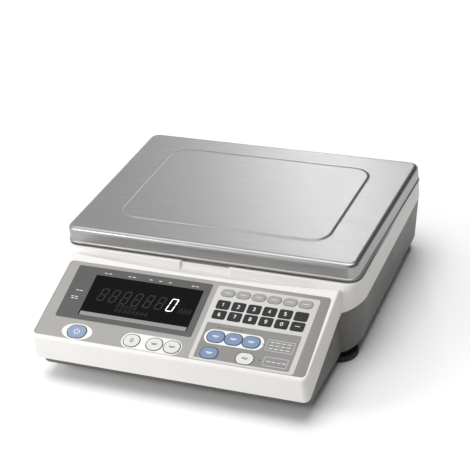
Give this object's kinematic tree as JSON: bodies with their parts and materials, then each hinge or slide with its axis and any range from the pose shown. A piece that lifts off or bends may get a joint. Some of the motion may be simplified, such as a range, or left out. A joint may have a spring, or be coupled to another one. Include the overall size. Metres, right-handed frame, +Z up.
{
  "type": "counting scale",
  "caption": "Bench counting scale: lift-off steel pan on a load cell, sloping console with display and press keys, levelling feet.",
  "frame": {"origin": "centre of the bounding box's footprint, on the table under the feet", "axes": "+Z up, -Y towards the person who stands at the console, +X to that person's right"},
  "size_m": [0.304, 0.336, 0.105],
  "materials": {
    "pan_steel": "brushed from side to side",
    "cast_aluminium": "as cast",
    "cell_aluminium": "satin, anodised",
    "cushion_rubber": "matte",
    "screw_steel": "satin, zinc plated",
    "cover_plastic": "satin, fine grain",
    "base_plastic": "satin, fine grain",
    "overlay_film": "satin printed film",
    "bezel_plastic": "semi-gloss print",
    "window_plastic": "gloss, dark tint",
    "display_glass": "glass face, dark",
    "circuit_board": "solder mask",
    "black_plastic": "satin",
    "cable_grey": "satin",
    "level_fluid": "clear tinted",
    "key_grey": "satin",
    "key_black": "satin",
    "key_blue": "satin",
    "key_white": "satin",
    "key_pale": "satin",
    "foot_rubber": "matte",
    "stud_steel": "zinc plated"
  },
  "bodies": {
    "housing": {"upper_cover": "cover_plastic", "lower_base": "base_plastic", "load_cell": "cell_aluminium", "cell_base_plate": "cast_aluminium", "cell_screws": "screw_steel", "overload_stop": "screw_steel", "case_screws": "screw_steel", "keypad_overlay": "overlay_film", "display_bezel": "bezel_plastic", "display_window": "window_plastic", "display_module": "display_glass", "display_board": "circuit_board", "key_guide_plate": "black_plastic", "key_board": "circuit_board", "tact_switches": "black_plastic", "main_board": "circuit_board", "internal_cables": "cable_grey", "dc_jack": "black_plastic", "option_cover": "base_plastic", "level_housing": "black_plastic", "level_vial": "level_fluid"},
    "platform": {"pan_support": "cast_aluminium", "pan_cushions": "cushion_rubber", "support_screws": "screw_steel"},
    "pan": {"pan": "pan_steel"},
    "function_key_1": {"function_key_1": "key_grey"},
    "function_key_2": {"function_key_2": "key_grey"},
    "function_key_3": {"function_key_3": "key_grey"},
    "function_key_4": {"function_key_4": "key_grey"},
    "function_key_5": {"function_key_5": "key_grey"},
    "function_key_6": {"function_key_6": "key_grey"},
    "number_key_1": {"number_key_1": "key_black"},
    "number_key_2": {"number_key_2": "key_black"},
    "number_key_3": {"number_key_3": "key_black"},
    "number_key_4": {"number_key_4": "key_black"},
    "number_key_5": {"number_key_5": "key_black"},
    "point_key": {"point_key": "key_black"},
    "number_key_6": {"number_key_6": "key_black"},
    "number_key_7": {"number_key_7": "key_black"},
    "number_key_8": {"number_key_8": "key_black"},
    "number_key_9": {"number_key_9": "key_black"},
    "number_key_0": {"number_key_0": "key_black"},
    "clear_key": {"clear_key": "key_black"},
    "method_key_1": {"method_key_1": "key_blue"},
    "method_key_2": {"method_key_2": "key_blue"},
    "method_key_3": {"method_key_3": "key_blue"},
    "sample_key": {"sample_key": "key_blue"},
    "enter_key": {"enter_key": "key_white"},
    "power_key": {"power_key": "key_pale"},
    "zero_key": {"zero_key": "key_white"},
    "gross_key": {"gross_key": "key_white"},
    "tare_key": {"tare_key": "key_white"},
    "foot_stud_front_left": {"foot_stud_front_left": "stud_steel"},
    "foot_disc_front_left": {"foot_disc_front_left": "foot_rubber"},
    "foot_stud_front_right": {"foot_stud_front_right": "stud_steel"},
    "foot_disc_front_right": {"foot_disc_front_right": "foot_rubber"},
    "foot_stud_rear_left": {"foot_stud_rear_left": "stud_steel"},
    "foot_disc_rear_left": {"foot_disc_rear_left": "foot_rubber"},
    "foot_stud_rear_right": {"foot_stud_rear_right": "stud_steel"},
    "foot_disc_rear_right": {"foot_disc_rear_right": "foot_rubber"}
  },
  "joints": [
    {"name": "platform_deflection", "type": "slide", "parent": "housing", "child": "platform", "axis": [0, 0, -1], "range_m": [0, 0.0005], "stiffness_N_per_m": 400000, "springref_m": -0.00006, "deforming": ["load_cell"]},
    {"name": "pan_lift", "type": "slide", "parent": "platform", "child": "pan", "axis": [0, 0, 1], "range_m": [0, 0.06]},
    {"name": "function_key_1_press", "type": "slide", "parent": "housing", "child": "function_key_1", "axis": [0, 0.3363, -0.9418], "range_m": [0, 0.0005], "stiffness_N_per_m": 3000},
    {"name": "function_key_2_press", "type": "slide", "parent": "housing", "child": "function_key_2", "axis": [0, 0.3363, -0.9418], "range_m": [0, 0.0005], "stiffness_N_per_m": 3000},
    {"name": "function_key_3_press", "type": "slide", "parent": "housing", "child": "function_key_3", "axis": [0, 0.3363, -0.9418], "range_m": [0, 0.0005], "stiffness_N_per_m": 3000},
    {"name": "function_key_4_press", "type": "slide", "parent": "housing", "child": "function_key_4", "axis": [0, 0.3363, -0.9418], "range_m": [0, 0.0005], "stiffness_N_per_m": 3000},
    {"name": "function_key_5_press", "type": "slide", "parent": "housing", "child": "function_key_5", "axis": [0, 0.3363, -0.9418], "range_m": [0, 0.0005], "stiffness_N_per_m": 3000},
    {"name": "function_key_6_press", "type": "slide", "parent": "housing", "child": "function_key_6", "axis": [0, 0.3363, -0.9418], "range_m": [0, 0.0005], "stiffness_N_per_m": 3000},
    {"name": "number_key_1_press", "type": "slide", "parent": "housing", "child": "number_key_1", "axis": [0, 0.3363, -0.9418], "range_m": [0, 0.0005], "stiffness_N_per_m": 3000},
    {"name": "number_key_2_press", "type": "slide", "parent": "housing", "child": "number_key_2", "axis": [0, 0.3363, -0.9418], "range_m": [0, 0.0005], "stiffness_N_per_m": 3000},
    {"name": "number_key_3_press", "type": "slide", "parent": "housing", "child": "number_key_3", "axis": [0, 0.3363, -0.9418], "range_m": [0, 0.0005], "stiffness_N_per_m": 3000},
    {"name": "number_key_4_press", "type": "slide", "parent": "housing", "child": "number_key_4", "axis": [0, 0.3363, -0.9418], "range_m": [0, 0.0005], "stiffness_N_per_m": 3000},
    {"name": "number_key_5_press", "type": "slide", "parent": "housing", "child": "number_key_5", "axis": [0, 0.3363, -0.9418], "range_m": [0, 0.0005], "stiffness_N_per_m": 3000},
    {"name": "point_key_press", "type": "slide", "parent": "housing", "child": "point_key", "axis": [0, 0.3363, -0.9418], "range_m": [0, 0.0005], "stiffness_N_per_m": 3000},
    {"name": "number_key_6_press", "type": "slide", "parent": "housing", "child": "number_key_6", "axis": [0, 0.3363, -0.9418], "range_m": [0, 0.0005], "stiffness_N_per_m": 3000},
    {"name": "number_key_7_press", "type": "slide", "parent": "housing", "child": "number_key_7", "axis": [0, 0.3363, -0.9418], "range_m": [0, 0.0005], "stiffness_N_per_m": 3000},
    {"name": "number_key_8_press", "type": "slide", "parent": "housing", "child": "number_key_8", "axis": [0, 0.3363, -0.9418], "range_m": [0, 0.0005], "stiffness_N_per_m": 3000},
    {"name": "number_key_9_press", "type": "slide", "parent": "housing", "child": "number_key_9", "axis": [0, 0.3363, -0.9418], "range_m": [0, 0.0005], "stiffness_N_per_m": 3000},
    {"name": "number_key_0_press", "type": "slide", "parent": "housing", "child": "number_key_0", "axis": [0, 0.3363, -0.9418], "range_m": [0, 0.0005], "stiffness_N_per_m": 3000},
    {"name": "clear_key_press", "type": "slide", "parent": "housing", "child": "clear_key", "axis": [0, 0.3363, -0.9418], "range_m": [0, 0.0005], "stiffness_N_per_m": 3000},
    {"name": "method_key_1_press", "type": "slide", "parent": "housing", "child": "method_key_1", "axis": [0, 0.3363, -0.9418], "range_m": [0, 0.0005], "stiffness_N_per_m": 3000},
    {"name": "method_key_2_press", "type": "slide", "parent": "housing", "child": "method_key_2", "axis": [0, 0.3363, -0.9418], "range_m": [0, 0.0005], "stiffness_N_per_m": 3000},
    {"name": "method_key_3_press", "type": "slide", "parent": "housing", "child": "method_key_3", "axis": [0, 0.3363, -0.9418], "range_m": [0, 0.0005], "stiffness_N_per_m": 3000},
    {"name": "sample_key_press", "type": "slide", "parent": "housing", "child": "sample_key", "axis": [0, 0.3363, -0.9418], "range_m": [0, 0.0005], "stiffness_N_per_m": 3000},
    {"name": "enter_key_press", "type": "slide", "parent": "housing", "child": "enter_key", "axis": [0, 0.3363, -0.9418], "range_m": [0, 0.0005], "stiffness_N_per_m": 3000},
    {"name": "power_key_press", "type": "slide", "parent": "housing", "child": "power_key", "axis": [0, 0.3363, -0.9418], "range_m": [0, 0.0005], "stiffness_N_per_m": 3000},
    {"name": "zero_key_press", "type": "slide", "parent": "housing", "child": "zero_key", "axis": [0, 0.3363, -0.9418], "range_m": [0, 0.0005], "stiffness_N_per_m": 3000},
    {"name": "gross_key_press", "type": "slide", "parent": "housing", "child": "gross_key", "axis": [0, 0.3363, -0.9418], "range_m": [0, 0.0005], "stiffness_N_per_m": 3000},
    {"name": "tare_key_press", "type": "slide", "parent": "housing", "child": "tare_key", "axis": [0, 0.3363, -0.9418], "range_m": [0, 0.0005], "stiffness_N_per_m": 3000},
    {"name": "foot_front_left_height", "type": "slide", "parent": "housing", "child": "foot_stud_front_left", "axis": [0, 0, 1], "range_m": [-0.00313, 0.00313]},
    {"name": "foot_front_left_turn", "type": "hinge", "parent": "foot_stud_front_left", "child": "foot_disc_front_left", "pos_m": [-0.127, -0.05, 0.005], "axis": [0, 0, 1], "range_deg": [-900.1, 900.1]},
    {"name": "foot_front_right_height", "type": "slide", "parent": "housing", "child": "foot_stud_front_right", "axis": [0, 0, 1], "range_m": [-0.00313, 0.00313]},
    {"name": "foot_front_right_turn", "type": "hinge", "parent": "foot_stud_front_right", "child": "foot_disc_front_right", "pos_m": [0.127, -0.05, 0.005], "axis": [0, 0, 1], "range_deg": [-900.1, 900.1]},
    {"name": "foot_rear_left_height", "type": "slide", "parent": "housing", "child": "foot_stud_rear_left", "axis": [0, 0, 1], "range_m": [-0.00313, 0.00313]},
    {"name": "foot_rear_left_turn", "type": "hinge", "parent": "foot_stud_rear_left", "child": "foot_disc_rear_left", "pos_m": [-0.119, 0.147, 0.005], "axis": [0, 0, 1], "range_deg": [-900.1, 900.1]},
    {"name": "foot_rear_right_height", "type": "slide", "parent": "housing", "child": "foot_stud_rear_right", "axis": [0, 0, 1], "range_m": [-0.00313, 0.00313]},
    {"name": "foot_rear_right_turn", "type": "hinge", "parent": "foot_stud_rear_right", "child": "foot_disc_rear_right", "pos_m": [0.119, 0.147, 0.005], "axis": [0, 0, 1], "range_deg": [-900.1, 900.1]}
  ],
  "couplings": [
    {"joint": "foot_front_left_turn", "follows": "foot_front_left_height", "rad_per_m": 5026.5},
    {"joint": "foot_front_right_turn", "follows": "foot_front_right_height", "rad_per_m": 5026.5},
    {"joint": "foot_rear_left_turn", "follows": "foot_rear_left_height", "rad_per_m": 5026.5},
    {"joint": "foot_rear_right_turn", "follows": "foot_rear_right_height", "rad_per_m": 5026.5}
  ]
}
